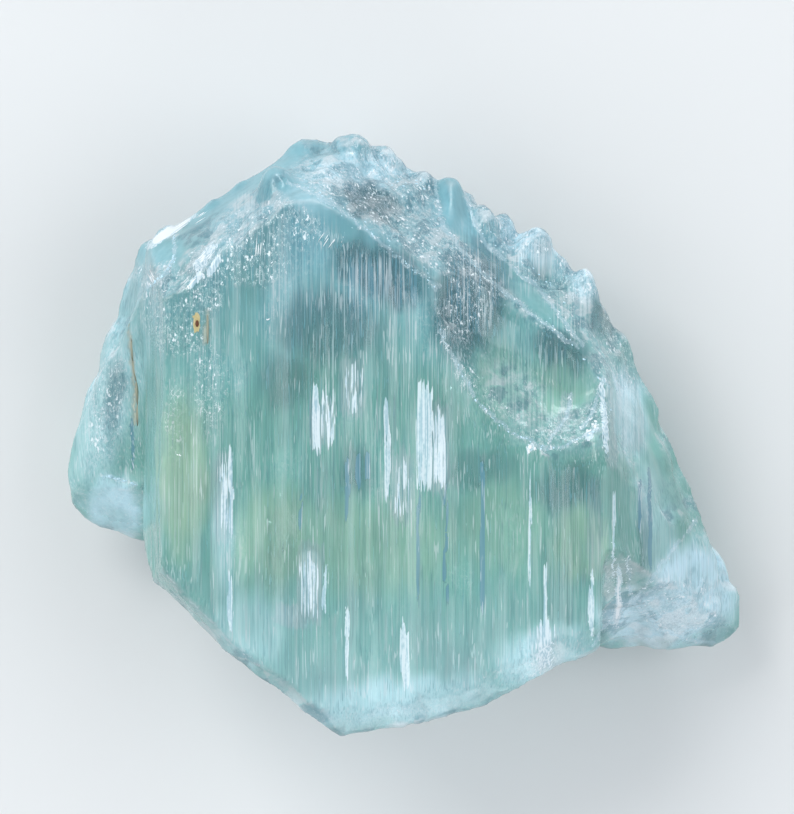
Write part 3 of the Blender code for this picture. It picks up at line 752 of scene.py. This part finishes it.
def patch_marks(places, normals):
    """How strongly each crumbled line, crack and kind of patch covers each spot of the upper skin."""
    x, y, z = places.T
    upper = smooth_step(-0.1, 0.25, normals[:, 2]) * smooth_step(1, 4, z)
    warp_x = 0.5 * noise_field(places, (1.2, 2.4, 1.2), 13.0)
    warp_y = 0.9 * noise_field(places, (1.2, 2.4, 1.2), 17.0)
    ragged = 1.6 * noise_field(places * np.array((1, 0, 0)), (0.45, 1, 1), 21.0)
    crooked_x = x + 0.25 * noise_field(places, (0.7, 0.7, 0.7), 25.0)
    crooked_y = y + 0.35 * noise_field(places, (0.9, 0.9, 0.9), 27.0)
    marks = {
        "rim": near_routes(crooked_x, crooked_y, RIMS, RIM_REACH) * upper,
        "crack": near_routes(crooked_x, crooked_y, CRACKS, CRACK_REACH) * upper,
    }
    for name, patches in PATCHES.items():
        if name in SHARP_PATCHES:
            marks[name] = patch_share(x + warp_x * 0.3, y, patches, corners=5, frayed=ragged) * upper
        else:
            marks[name] = patch_share(x + warp_x, y + warp_y, patches) * upper
    return marks


def carve(mesh, settings):
    """Raises the fine relief and notes each spot's kind of surface on the mesh."""
    soften(mesh)
    spots = vertex_vectors(mesh, "co")
    normals = vertex_vectors(mesh, "normal")
    marks = raise_relief(mesh, settings, spots, normals)
    marks.update(patch_marks(spots / MM, normals))
    for name, values in marks.items():
        layer = mesh.attributes.new(name, "FLOAT", "POINT")
        layer.data.foreach_set("value", values.astype(np.float32))
    for face in mesh.polygons:
        face.use_smooth = True
    mesh.update()


def near_level(blot, level, width):
    """1 on the crooked lines where a noise passes a level, falling to 0 at the width."""
    return 1 - abs(blot - level).above(0.006, width)


def stone_patterns(mark, blot):
    """The stone's fine patterns, painted glints and painted shade among them, each from 0, where it is
    missing, to 1.
    """
    rough = 1 - mark.polished * 0.9
    wild = (mark.sparkle + mark.etched * 0.35 + (blot.cloud - 0.5) * 1.2).clipped() * rough
    crumbly = (wild + mark.rim * 0.7 + mark.broken * 0.25).clipped()
    upright = (1 - mark.etched * 0.6) * rough * (1 - mark.broken * 0.8)
    sparse = (1 - blot.gather + mark.gloom * 0.3).above(0.38, 0.66)
    crumbs = (blot.crumb + crumbly * 0.3).above(0.50, 0.62) * crumbly.above(0.05, 0.45)
    spark = (blot.crumb + (blot.crinkle - 0.5) * 0.9 + crumbly * 0.08).above(1.04, 1.08)
    fray = (blot.line * 0.6 + blot.hair * 0.6 + blot.dash * 0.8 - 1) * mark.flash.above(0.0, 0.3)
    veil_fray = (blot.dash + blot.crinkle - 1) * mark.veil.above(0.0, 0.2)
    seam_fray = (blot.dash - 0.5) * 0.6 * mark.seam.above(0.0, 0.3)
    stain_fray = (blot.crinkle - 0.5) * 0.8 * mark.stain.above(0.0, 0.3)
    return SimpleNamespace(
        rough=rough,
        crumbly=crumbly,
        upright=upright,
        reeds_light=blot.reed.above(0.57, 0.66) * mark.comb,
        reeds_dark=(1 - blot.reed).above(0.54, 0.64) * mark.comb,
        fine_light=blot.line.above(0.62, 0.70) * (blot.gather.above(0.38, 0.62) * upright),
        fine_dark=(1 - blot.line).above(0.62, 0.70) * sparse * upright,
        dashes=(blot.dash + (blot.gather - 0.5) * 0.5).above(0.72, 0.78) * upright,
        pits=(1 - blot.dash + mark.gloom * 0.06).above(0.72, 0.77) * upright,
        # Painted glints and painted shade: bright and dark crooked lines side by side, standing in for light
        # and shade on a fine relief.
        glints=near_level(blot.crinkle, 0.545, 0.040) * crumbs,
        shades=near_level(blot.crinkle, 0.48, 0.045) * crumbly,
        # Painted sparkle: white specks standing in for glints.
        sparks=spark * crumbly.above(0.1, 0.5),
        # Partly the cleavages' own white, partly painted reflection.
        flash=(mark.flash + fray).above(0.44, 0.54),
        veil=(mark.veil + veil_fray * 0.4).above(0.15, 0.28) * (0.2 + mark.veil * 0.45),
        seam=(mark.seam + seam_fray).above(0.2, 0.4),
        stain=(mark.stain + stain_fray).above(0.35, 0.5),
        pale=(mark.pale * (0.5 + blot.cloud)).clipped(),
        # Painted shade, broken up by the cloud and streak noises.
        gloom=(mark.gloom * (blot.cloud + blot.streak)).clipped(),
        # Pale convex edges: partly the frosting of broken and etched ridges, partly a painted highlight
        # along the edges.
        edge_frost_and_highlight=mark.edge.above(0.2, 1.0) * (0.15 + mark.etched + mark.broken).clipped(),
    )


def stone_colour(shader, settings, mark, blot, pattern, height):
    """The growth zones from the root to the tip, under the patterns, the painted shade and the painted
    highlights in the order they cover each other.
    """
    along = (height - LOW.y) / (HIGH.y - LOW.y) + (blot.cloud - 0.5) * 0.25
    stops = [(0.02, settings.root), (0.85, settings.blue), (0.28, settings.teal), (0.55, settings.teal)]
    colour = shader.node("ShaderNodeValToRGB", settings={"stops": stops}, inputs={"Fac": along})
    cloudy = (mark.broken * 0.3 + mark.pale.above(0.92, 1.15)).clipped()
    tone = blot.crumb * 0.5 + blot.crinkle * 0.5 - 0.5
    veil_lines = shader.mix(blot.hair.above(0.4, 0.6), settings.veil, settings.pearl)
    lustre = (blot.hair * 0.6 + blot.line * 0.3 + blot.crinkle * 0.3).above(0.50, 0.68)
    flash_lines = shader.mix(lustre, settings.veil, settings.pearl)
    layers = [
        (mark.green * 0.6, settings.green),
        (mark.etched * pattern.rough * 0.25, settings.lavender),
        # Painted shade from the gloom patches.
        (pattern.gloom * 0.75, settings.gloom),
        (pattern.pale * 0.85, settings.lavender),
        ((1 - blot.streak).above(0.45, 0.75) * 0.18, settings.gloom),
        (blot.streak.above(0.50, 0.75) * 0.16, settings.lavender),
        (blot.billow.above(0.48, 0.60) * cloudy * 0.7, settings.lavender),
        ((1 - blot.billow).above(0.50, 0.66) * cloudy * 0.30, settings.gloom),
        # Painted light and shade on the facets: ice white where the tilt faces one side, deep blue where it
        # faces away.
        (mark.facet.above(0.0, 1.2) * 0.55, settings.ice),
        ((mark.facet * -1.0).above(0.0, 1.2) * 0.5, settings.gloom),
        (tone.above(0.0, 0.4) * pattern.crumbly * 0.45, settings.ice),
        ((tone * -1.0).above(0.0, 0.4) * pattern.crumbly * 0.45, settings.gloom),
        ((blot.hair - 0.5).above(0.0, 0.2) * pattern.upright * 0.18, settings.ice),
        ((0.5 - blot.hair).above(0.0, 0.2) * pattern.upright * 0.18, settings.gloom),
        (pattern.veil, veil_lines),
        (pattern.reeds_dark * 0.45, settings.gloom),
        (pattern.fine_dark * 0.30, settings.gloom),
        (pattern.pits * 0.35, settings.gloom),
        (pattern.seam * 0.85, settings.gloom),
        # Painted shade beside the painted glints.
        (pattern.shades * 0.35, settings.gloom),
        # Painted shade: the grooves and hollows of the relief are darkened towards deep blue.
        ((mark.edge * -1.0).above(0.1, 0.9) * 0.3, settings.gloom),
        # Painted highlight, with some real frosting, on the convex edges.
        (pattern.edge_frost_and_highlight * 0.5, settings.ice),
        (mark.rim.above(0.45, 0.75) * 0.5, settings.lavender),
        (pattern.reeds_light * 0.40, settings.ice),
        (pattern.fine_light * 0.30, settings.ice),
        (pattern.dashes * 0.4, settings.ice),
        # Painted glints and sparkle in ice white.
        (pattern.glints * 0.55, settings.ice),
        (pattern.sparks * 0.8, settings.ice),
        # Painted reflection on the cleavage flashes, over their own pale lines; the strongest patches are
        # painted pure ice white.
        (pattern.flash * 0.8, flash_lines),
        (mark.flash.above(1.05, 1.25), settings.ice),
        (mark.crack * 0.75, settings.tan),
        (pattern.stain * 0.8, settings.ochre),
    ]
    for share, tint in layers:
        colour = shader.mix(share, colour, tint)
    return colour


def stone_milk(mark, blot, pattern):
    """How milky each spot is, from 0 where it is clear to 1."""
    milk = 0.50 + (blot.cloud - 0.5) * 0.45 + pattern.pale * 0.35 - pattern.gloom * 0.2 + mark.etched * 0.15
    covers = [
        pattern.flash * 0.9,
        pattern.veil,
        pattern.glints * 0.8,
        pattern.sparks * 0.9,
        pattern.shades * 0.6,
        pattern.fine_light * 0.6,
        pattern.dashes * 0.6,
        pattern.pits * 0.7,
        pattern.fine_dark * 0.6,
        pattern.reeds_light * 0.7,
        pattern.reeds_dark * 0.8,
        pattern.seam * 0.95,
        pattern.edge_frost_and_highlight * 0.6,
        mark.rim * 0.4,
        pattern.stain,
        mark.crack,
    ]
    for cover in covers:
        milk = milk.math("MAXIMUM", milk, cover)
    return milk.clipped()


def stone_material(settings):
    """Clear pale stone that is milky inside: plain transmission, IOR and absorption under a fine skin."""
    shader = Shader("aquamarine")
    place = shader.node("ShaderNodeTexCoord", output="Object")
    split = shader.node("ShaderNodeSeparateXYZ", inputs={"Vector": place})
    height, depth = (Signal(shader.tree, split.socket.node.outputs[axis]) for axis in ("Y", "Z"))
    mark = SimpleNamespace(**{
        name: shader.node("ShaderNodeAttribute", settings={"attribute_name": name}, output="Fac")
        for name in ("etched", "broken", "polished", "edge", "facet", "rim", "crack", *PATCHES)
    })
    blot = SimpleNamespace(crumb=shader.crumbs(place, CRUMB), **{
        name: shader.stretched_noise(place, size, detail, shift)
        for name, (size, detail, shift) in BLOTS.items()
    })
    pattern = stone_patterns(mark, blot)
    colour = stone_colour(shader, settings, mark, blot, pattern, height)

    ripple = blot.line * 0.25 + blot.hair * 0.15 + blot.crinkle * (0.1 + pattern.crumbly * 1.1)
    ripple = (ripple + blot.reed * mark.comb * 0.6) * pattern.rough
    bump = shader.node(
        "ShaderNodeBump", inputs={"Strength": 0.6, "Distance": settings.ripple_depth, "Height": ripple}
    )
    deep = 1 - depth.above(4 * MM, 16 * MM)
    clear = shader.node(
        "ShaderNodeBsdfPrincipled",
        inputs={
            "Base Color": shader.mix(0.4, colour, (1.0, 1.0, 1.0)),
            "Roughness": 0.03 + blot.streak * 0.04 + mark.broken * 0.08 + deep * 0.2,
            "IOR": settings.ior,
            "Transmission Weight": 1.0,
            "Normal": bump,
        },
    )
    milky = shader.node(
        "ShaderNodeBsdfPrincipled",
        inputs={
            "Base Color": colour,
            "Roughness": 0.18 + blot.streak * 0.12 - pattern.crumbly * 0.06,
            "IOR": settings.ior,
            "Normal": bump,
        },
    )
    milk = stone_milk(mark, blot, pattern)
    body = shader.node("ShaderNodeMixShader", inputs={0: milk, 1: clear, 2: milky})
    inside = shader.node(
        "ShaderNodeVolumeAbsorption",
        inputs={"Color": tuple(settings.absorption), "Density": settings.density},
    )
    return shader.finish(body, inside)


class AQUAMARINE_OT_crystal(bpy.types.Operator):
    """Grow the crystal's striated, etched and broken skin over its solid"""

    bl_idname = "aquamarine.crystal"
    bl_label = "Crystal"

    def execute(self, context):
        settings = context.scene.aquamarine_crystal
        mesh = skin_mesh(settings)
        mesh.name = "crystal_skin"
        carve(mesh, settings)
        piece = add_piece("crystal_skin", mesh, stone_material(settings))
        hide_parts(NODE)
        return {"FINISHED"}


# Inside the stone


class Depths:
    """Finds the skin above and below a spot."""

    def __init__(self):
        bm = opened(bpy.data.objects["crystal_skin"].data)
        self.tree = BVHTree.FromBMesh(bm)
        bm.free()

    def span(self, x, y):
        """Heights of the lowest and highest skin at x and y, in metres, or None past the outline."""
        top = self.tree.ray_cast(Vector((x, y, HIGH.z + 1)), -UP)[0]
        bottom = self.tree.ray_cast(Vector((x, y, LOW.z - 1)), UP)[0]
        return (bottom.z, top.z) if top and bottom else None

    def under(self, x, y, depth):
        """A spot under the skin, x and y and the depth in mm, or None where the stone is too thin."""
        span = self.span(x * MM, y * MM)
        if not span or span[1] - span[0] < (depth + 0.4) * MM:
            return None
        return Vector((x * MM, y * MM, span[1] - depth * MM))

    def lying(self, start, end, depth):
        """The ends of a straight run that stays the depth in mm under the skin, or None if too thin."""
        steps = 5
        stations = [start + (end - start) * (step / steps) for step in range(steps + 1)]
        spots = [self.under(spot.x, spot.y, depth) for spot in stations]
        if not all(spots):
            return None
        first, last = spots[0], spots[-1]
        sink = max(first.z + (last.z - first.z) * step / steps - spot.z for step, spot in enumerate(spots))
        down = Vector((0, 0, max(sink, 0)))
        return first - down, last - down


def lump(bm, spot, radii, turn=Matrix.Identity(4), fineness=1):
    """A round lump stretched to its radii along X, Y and Z, in metres, then turned."""
    shape = turn @ Matrix.Diagonal((*radii, 1))
    return bmesh.ops.create_icosphere(
        bm, subdivisions=fineness, radius=1.0, matrix=Matrix.Translation(spot) @ shape
    )


def spindle(bm, start, end, width, thickness):
    """A long thin lens between two spots, lying flat."""
    run = end - start
    side = UP.cross(run).normalized()
    lift = run.normalized().cross(side)
    turn = Matrix((side, run.normalized(), -lift)).transposed().to_4x4()
    lump(bm, (start + end) / 2, (width / 2, run.length / 2, thickness / 2), turn)


def tube(bm, start, end, radius):
    run = end - start
    turn = run.to_track_quat("Z", "Y").to_matrix().to_4x4()
    bmesh.ops.create_cone(
        bm, cap_ends=True, segments=5, radius1=radius, radius2=radius * 0.35, depth=run.length,
        matrix=Matrix.Translation((start + end) / 2) @ turn,
    )


def chip(bm, spot, width, turn, chance):
    """An uneven little lump, longer along the given direction."""
    radii = (width * chance.uniform(1.0, 2.0), width, width * chance.uniform(0.5, 0.9))
    swing = Matrix.Rotation(turn + chance.uniform(-0.5, 0.5), 4, "Z")
    tilt = Matrix.Rotation(chance.uniform(-0.4, 0.4), 4, "X")
    made = lump(bm, spot, radii, swing @ tilt)
    for vert in made["verts"]:
        vert.co += Vector([chance.uniform(-0.2, 0.2) * width for _ in range(3)])


def plain_material(name, colour, roughness, speckle=0.25, metallic=0.0):
    """One colour, mottled a little along the growth direction."""
    shader = Shader(name)
    place = shader.node("ShaderNodeTexCoord", output="Object")
    blots = shader.stretched_noise(place, (0.15, 0.8, 0.15), detail=3)
    darker = tuple(part * 0.6 for part in colour)
    body = shader.node(
        "ShaderNodeBsdfPrincipled",
        inputs={
            "Base Color": shader.mix(blots.above(0.35, 0.65) * speckle, tuple(colour), darker),
            "Roughness": roughness,
            "Metallic": metallic,
        },
    )
    return shader.finish(body)


class AQUAMARINE_OT_growth_tubes(bpy.types.Operator):
    """Thread the stone with hair-thin growth tubes along its axis"""

    bl_idname = "aquamarine.growth_tubes"
    bl_label = "Growth Tubes"

    def execute(self, context):
        settings = context.scene.aquamarine_inside
        chance = random.Random(11)
        depths = Depths()
        bm = bmesh.new()
        made = 0
        while made < settings.tubes:
            x = chance.gauss(-3.0, 9.5) if chance.random() < 0.75 else chance.uniform(-26, 25)
            y = chance.uniform(-22, 20)
            length = chance.uniform(2.0, 6.0) * chance.uniform(1.0, 2.6)
            ends = [depths.span(x * MM, (y + side * length / 2) * MM) for side in (-1, 1)]
            middle = depths.span(x * MM, y * MM)
            if not all(ends) or not middle:
                continue
            top = min(ends[0][1], ends[1][1], middle[1]) - 0.35 * MM
            bottom = max(ends[0][0], ends[1][0], middle[0]) + 0.6 * MM
            if top <= bottom:
                continue
            share = chance.random() ** 2.2
            z = top + (bottom - top) * share
            radius = settings.tube_radius * chance.uniform(0.4, 1.5)
            tilt = chance.uniform(-0.06, 0.06) * MM
            start = Vector((x * MM, (y - length / 2) * MM, z))
            tube(bm, start, start + Vector((tilt, length * MM, 0)), radius)
            made += 1
        bmesh_piece("growth_tubes", bm, plain_material("growth_tube", settings.white, 0.25, 0.5))

        bm = bmesh.new()
        for x1, y1, x2, y2, radius, depth in DARK_TUBES:
            start, end = depths.lying(Vector((x1, y1)), Vector((x2, y2)), depth)
            tube(bm, start, end, radius * MM)
        bmesh_piece("dark_tubes", bm, plain_material("dark_tube", settings.dark, 0.3))
        return {"FINISHED"}


class AQUAMARINE_OT_flashes(bpy.types.Operator):
    """Lay bright cleavage flashes, grains and specks just under the skin"""

    bl_idname = "aquamarine.flashes"
    bl_label = "Cleavage Flashes"

    def execute(self, context):
        settings = context.scene.aquamarine_inside
        chance = random.Random(23)
        depths = Depths()
        white = plain_material("cleavage_white", settings.white, 0.3, 0.15)
        bm = bmesh.new()
        for x1, y1, x2, y2, width, depth, slivers in FLASHES:
            start, run = Vector((x1, y1)), Vector((x2 - x1, y2 - y1))
            across = Vector((-run.y, run.x)).normalized()
            for _ in range(slivers):
                offset = across * chance.uniform(-0.5, 0.5) * width
                first = chance.uniform(0.0, 0.45)
                last = chance.uniform(0.6, 1.0)
                ends = [start + run * share + offset for share in (first, last)]
                spots = depths.lying(*ends, depth + chance.uniform(0, 0.25) * (depth > 0))
                if spots:
                    sliver_width = chance.uniform(0.08, 0.24) * max(width, 0.5)
                    spindle(bm, spots[0], spots[1], sliver_width * MM, 0.03 * MM)
        for x, y, radius in GRAINS:
            for _ in range(5):
                stray_x, stray_y = chance.gauss(0, 0.5) * radius, chance.gauss(0, 0.5) * radius
                spot = depths.under(x + stray_x, y + stray_y, radius * 0.2)
                chip(bm, spot, radius * chance.uniform(0.3, 0.6) * MM, chance.uniform(0, 3), chance)
        bmesh_piece("cleavage_flashes", bm, white)

        bm = bmesh.new()
        for x, y, spread_x, spread_y, count in SPECKS:
            for _ in range(count):
                speck_x, speck_y = chance.gauss(x, spread_x * 0.5), chance.gauss(y, spread_y * 0.5)
                spot = depths.under(speck_x, speck_y, chance.uniform(0.25, 1.8))
                if not spot:
                    continue
                size = chance.uniform(0.03, 0.12) * MM
                swing = Matrix.Rotation(chance.uniform(-0.9, 0.9), 4, "Y")
                tilt = Matrix.Rotation(chance.uniform(-0.9, 0.9), 4, "X")
                lump(bm, spot, (size, size * chance.uniform(1, 2.4), size * 0.15), swing @ tilt)
        glitter = plain_material("speck", settings.white, 0.12, 0.0, metallic=0.6)
        bmesh_piece("specks", bm, glitter, smooth=False)
        return {"FINISHED"}


class AQUAMARINE_OT_chips(bpy.types.Operator):
    """Crumble the edges of the hollow and of the crest's bands into small chips"""

    bl_idname = "aquamarine.chips"
    bl_label = "Chipped Edges"

    def execute(self, context):
        settings = context.scene.aquamarine_crystal
        chance = random.Random(51)
        depths = Depths()
        bm = bmesh.new()
        for route, stray, size, rate in CHIPPED_EDGES:
            corners = [Vector(corner) for corner in route]
            for start, end in zip(corners, corners[1:]):
                for _ in range(round((end - start).length * rate)):
                    place = start + (end - start) * chance.random()
                    place += Vector((chance.gauss(0, 1), chance.gauss(0, 1))) * stray * 0.5
                    width = size * chance.uniform(0.4, 1.0) * chance.uniform(0.6, 2.2)
                    spot = depths.under(place.x, place.y, width * chance.uniform(-0.1, 0.4))
                    if spot:
                        chip(bm, spot, width * MM, (end - start).angle_signed(Vector((1, 0))), chance)
        material = plain_material("chip_ice", settings.lavender, 0.15, 0.6)
        bmesh_piece("edge_chips", bm, material, smooth=False)
        return {"FINISHED"}


class AQUAMARINE_OT_cloud(bpy.types.Operator):
    """Gather fine pale flakes into the milky cloud near the root"""

    bl_idname = "aquamarine.cloud"
    bl_label = "Milky Cloud"

    def execute(self, context):
        chance = random.Random(37)
        depths = Depths()
        bm = bmesh.new()
        for _ in range(CLOUD_FLAKES):
            leg = chance.randrange(len(CLOUD) - 1)
            share = chance.random()
            x, y, half = (a + (b - a) * share for a, b in zip(CLOUD[leg], CLOUD[leg + 1]))
            x += chance.uniform(-1, 1) * half * 0.7
            y += chance.uniform(-1, 1) * half * 0.7
            spot = depths.under(x, y, chance.uniform(0.5, 1.2))
            width = chance.uniform(0.1, 0.3) * MM
            radii = (width, width * chance.uniform(1.2, 3.2), 0.02 * MM)
            lump(bm, spot, radii, Matrix.Rotation(chance.uniform(-0.4, 0.4), 4, "Y"))
        bmesh_piece("milky_cloud", bm, plain_material("cloud_white", CLOUD_WHITE, 0.5, 0.1))
        return {"FINISHED"}


class AQUAMARINE_OT_stains(bpy.types.Operator):
    """Set the iron-stained inclusion and the stained crack"""

    bl_idname = "aquamarine.stains"
    bl_label = "Iron Stains"

    def execute(self, context):
        settings = context.scene.aquamarine_inside
        depths = Depths()
        for name, grains, material in (
            ("iron_stain", IRON_GRAINS, plain_material("iron_ochre", settings.ochre, 0.5, 0.6)),
            ("iron_core", [IRON_CORE], plain_material("iron_brown", IRON_BROWN, 0.5)),
        ):
            bm = bmesh.new()
            for x, y, width, length, thickness, depth in grains:
                radii = (width / 2 * MM, length / 2 * MM, thickness / 2 * MM)
                lump(bm, depths.under(x, y, depth), radii, fineness=2)
            bmesh_piece(name, bm, material)

        bm = bmesh.new()
        for route, width, thickness, run_on in CRACK_FILMS:
            spots = [depths.under(x, y, 0.0) for x, y in route]
            for start, end in zip(spots, spots[1:]):
                further = (end - start) * run_on
                spindle(bm, start - further, end + further, width * MM, thickness * MM)
        bmesh_piece("stained_crack", bm, plain_material("crack_tan", CRACK_TAN, 0.6))
        return {"FINISHED"}


# The stage


def area_light(name, place, size, power, colour):
    lamp = bpy.data.lights.new(name, "AREA")
    lamp.shape = "RECTANGLE"
    lamp.size, lamp.size_y = size
    lamp.energy = power
    lamp.color = colour
    made = placed(name, lamp)
    made.location = place
    made.rotation_euler = Vector(place).to_track_quat("Z", "Y").to_euler()


class AQUAMARINE_OT_stage(bpy.types.Operator):
    """Set out the pale floor, the soft lights and the camera"""

    bl_idname = "aquamarine.stage"
    bl_label = "Stage"

    def execute(self, context):
        settings = context.scene.aquamarine_stage
        bm = bmesh.new()
        bmesh.ops.create_grid(bm, x_segments=1, y_segments=1, size=settings.floor_side / 2)
        bmesh.ops.translate(bm, verts=bm.verts, vec=(0, 0, LOW.z - 0.02 * MM))
        mesh = closed("floor", bm)
        shader = Shader("floor")
        paint = shader.node(
            "ShaderNodeBsdfPrincipled", inputs={"Base Color": tuple(settings.floor), "Roughness": 0.7}
        )
        mesh.materials.append(shader.finish(paint))
        placed("floor", mesh)

        for lamp in LAMPS:
            area_light(*lamp)
        world = bpy.data.worlds.new("studio")
        world.use_nodes = True
        sky = world.node_tree.nodes["Background"]
        sky.inputs["Color"].default_value = SKY
        sky.inputs["Strength"].default_value = SKY_STRENGTH
        context.scene.world = world
        context.scene.view_settings.view_transform = "Standard"

        camera = bpy.data.cameras.new("camera")
        camera.sensor_width = 36.0
        camera.lens = camera.sensor_width * settings.distance / settings.view_height
        camera.clip_end = 10.0
        context.scene.camera = placed("camera", camera)
        context.scene.camera.location = (*CAMERA_SPOT, HIGH.z / 2 + settings.distance)
        return {"FINISHED"}


class AQUAMARINE_PT_panel(bpy.types.Panel):
    """Lists the crystal's parts in the order they are made"""

    bl_label = "Aquamarine"
    bl_idname = "AQUAMARINE_PT_panel"
    bl_space_type = "VIEW_3D"
    bl_region_type = "UI"
    bl_category = "Aquamarine"

    def draw(self, context):
        for operator in OPERATORS:
            self.layout.operator(operator.bl_idname)


OPERATORS = (
    AQUAMARINE_OT_crystal,
    AQUAMARINE_OT_growth_tubes,
    AQUAMARINE_OT_flashes,
    AQUAMARINE_OT_chips,
    AQUAMARINE_OT_cloud,
    AQUAMARINE_OT_stains,
    AQUAMARINE_OT_stage,
)
CLASSES = (CrystalSettings, InsideSettings, StageSettings, *OPERATORS, AQUAMARINE_PT_panel)


def register():
    for made in CLASSES:
        bpy.utils.register_class(made)
    bpy.types.Scene.aquamarine_crystal = PointerProperty(type=CrystalSettings)
    bpy.types.Scene.aquamarine_inside = PointerProperty(type=InsideSettings)
    bpy.types.Scene.aquamarine_stage = PointerProperty(type=StageSettings)


def unregister():
    del bpy.types.Scene.aquamarine_stage
    del bpy.types.Scene.aquamarine_inside
    del bpy.types.Scene.aquamarine_crystal
    for made in reversed(CLASSES):
        bpy.utils.unregister_class(made)


def main():
    register()
    for operator in OPERATORS:
        group, name = operator.bl_idname.split(".")
        getattr(getattr(bpy.ops, group), name)()


if __name__ == "__main__":
    main()
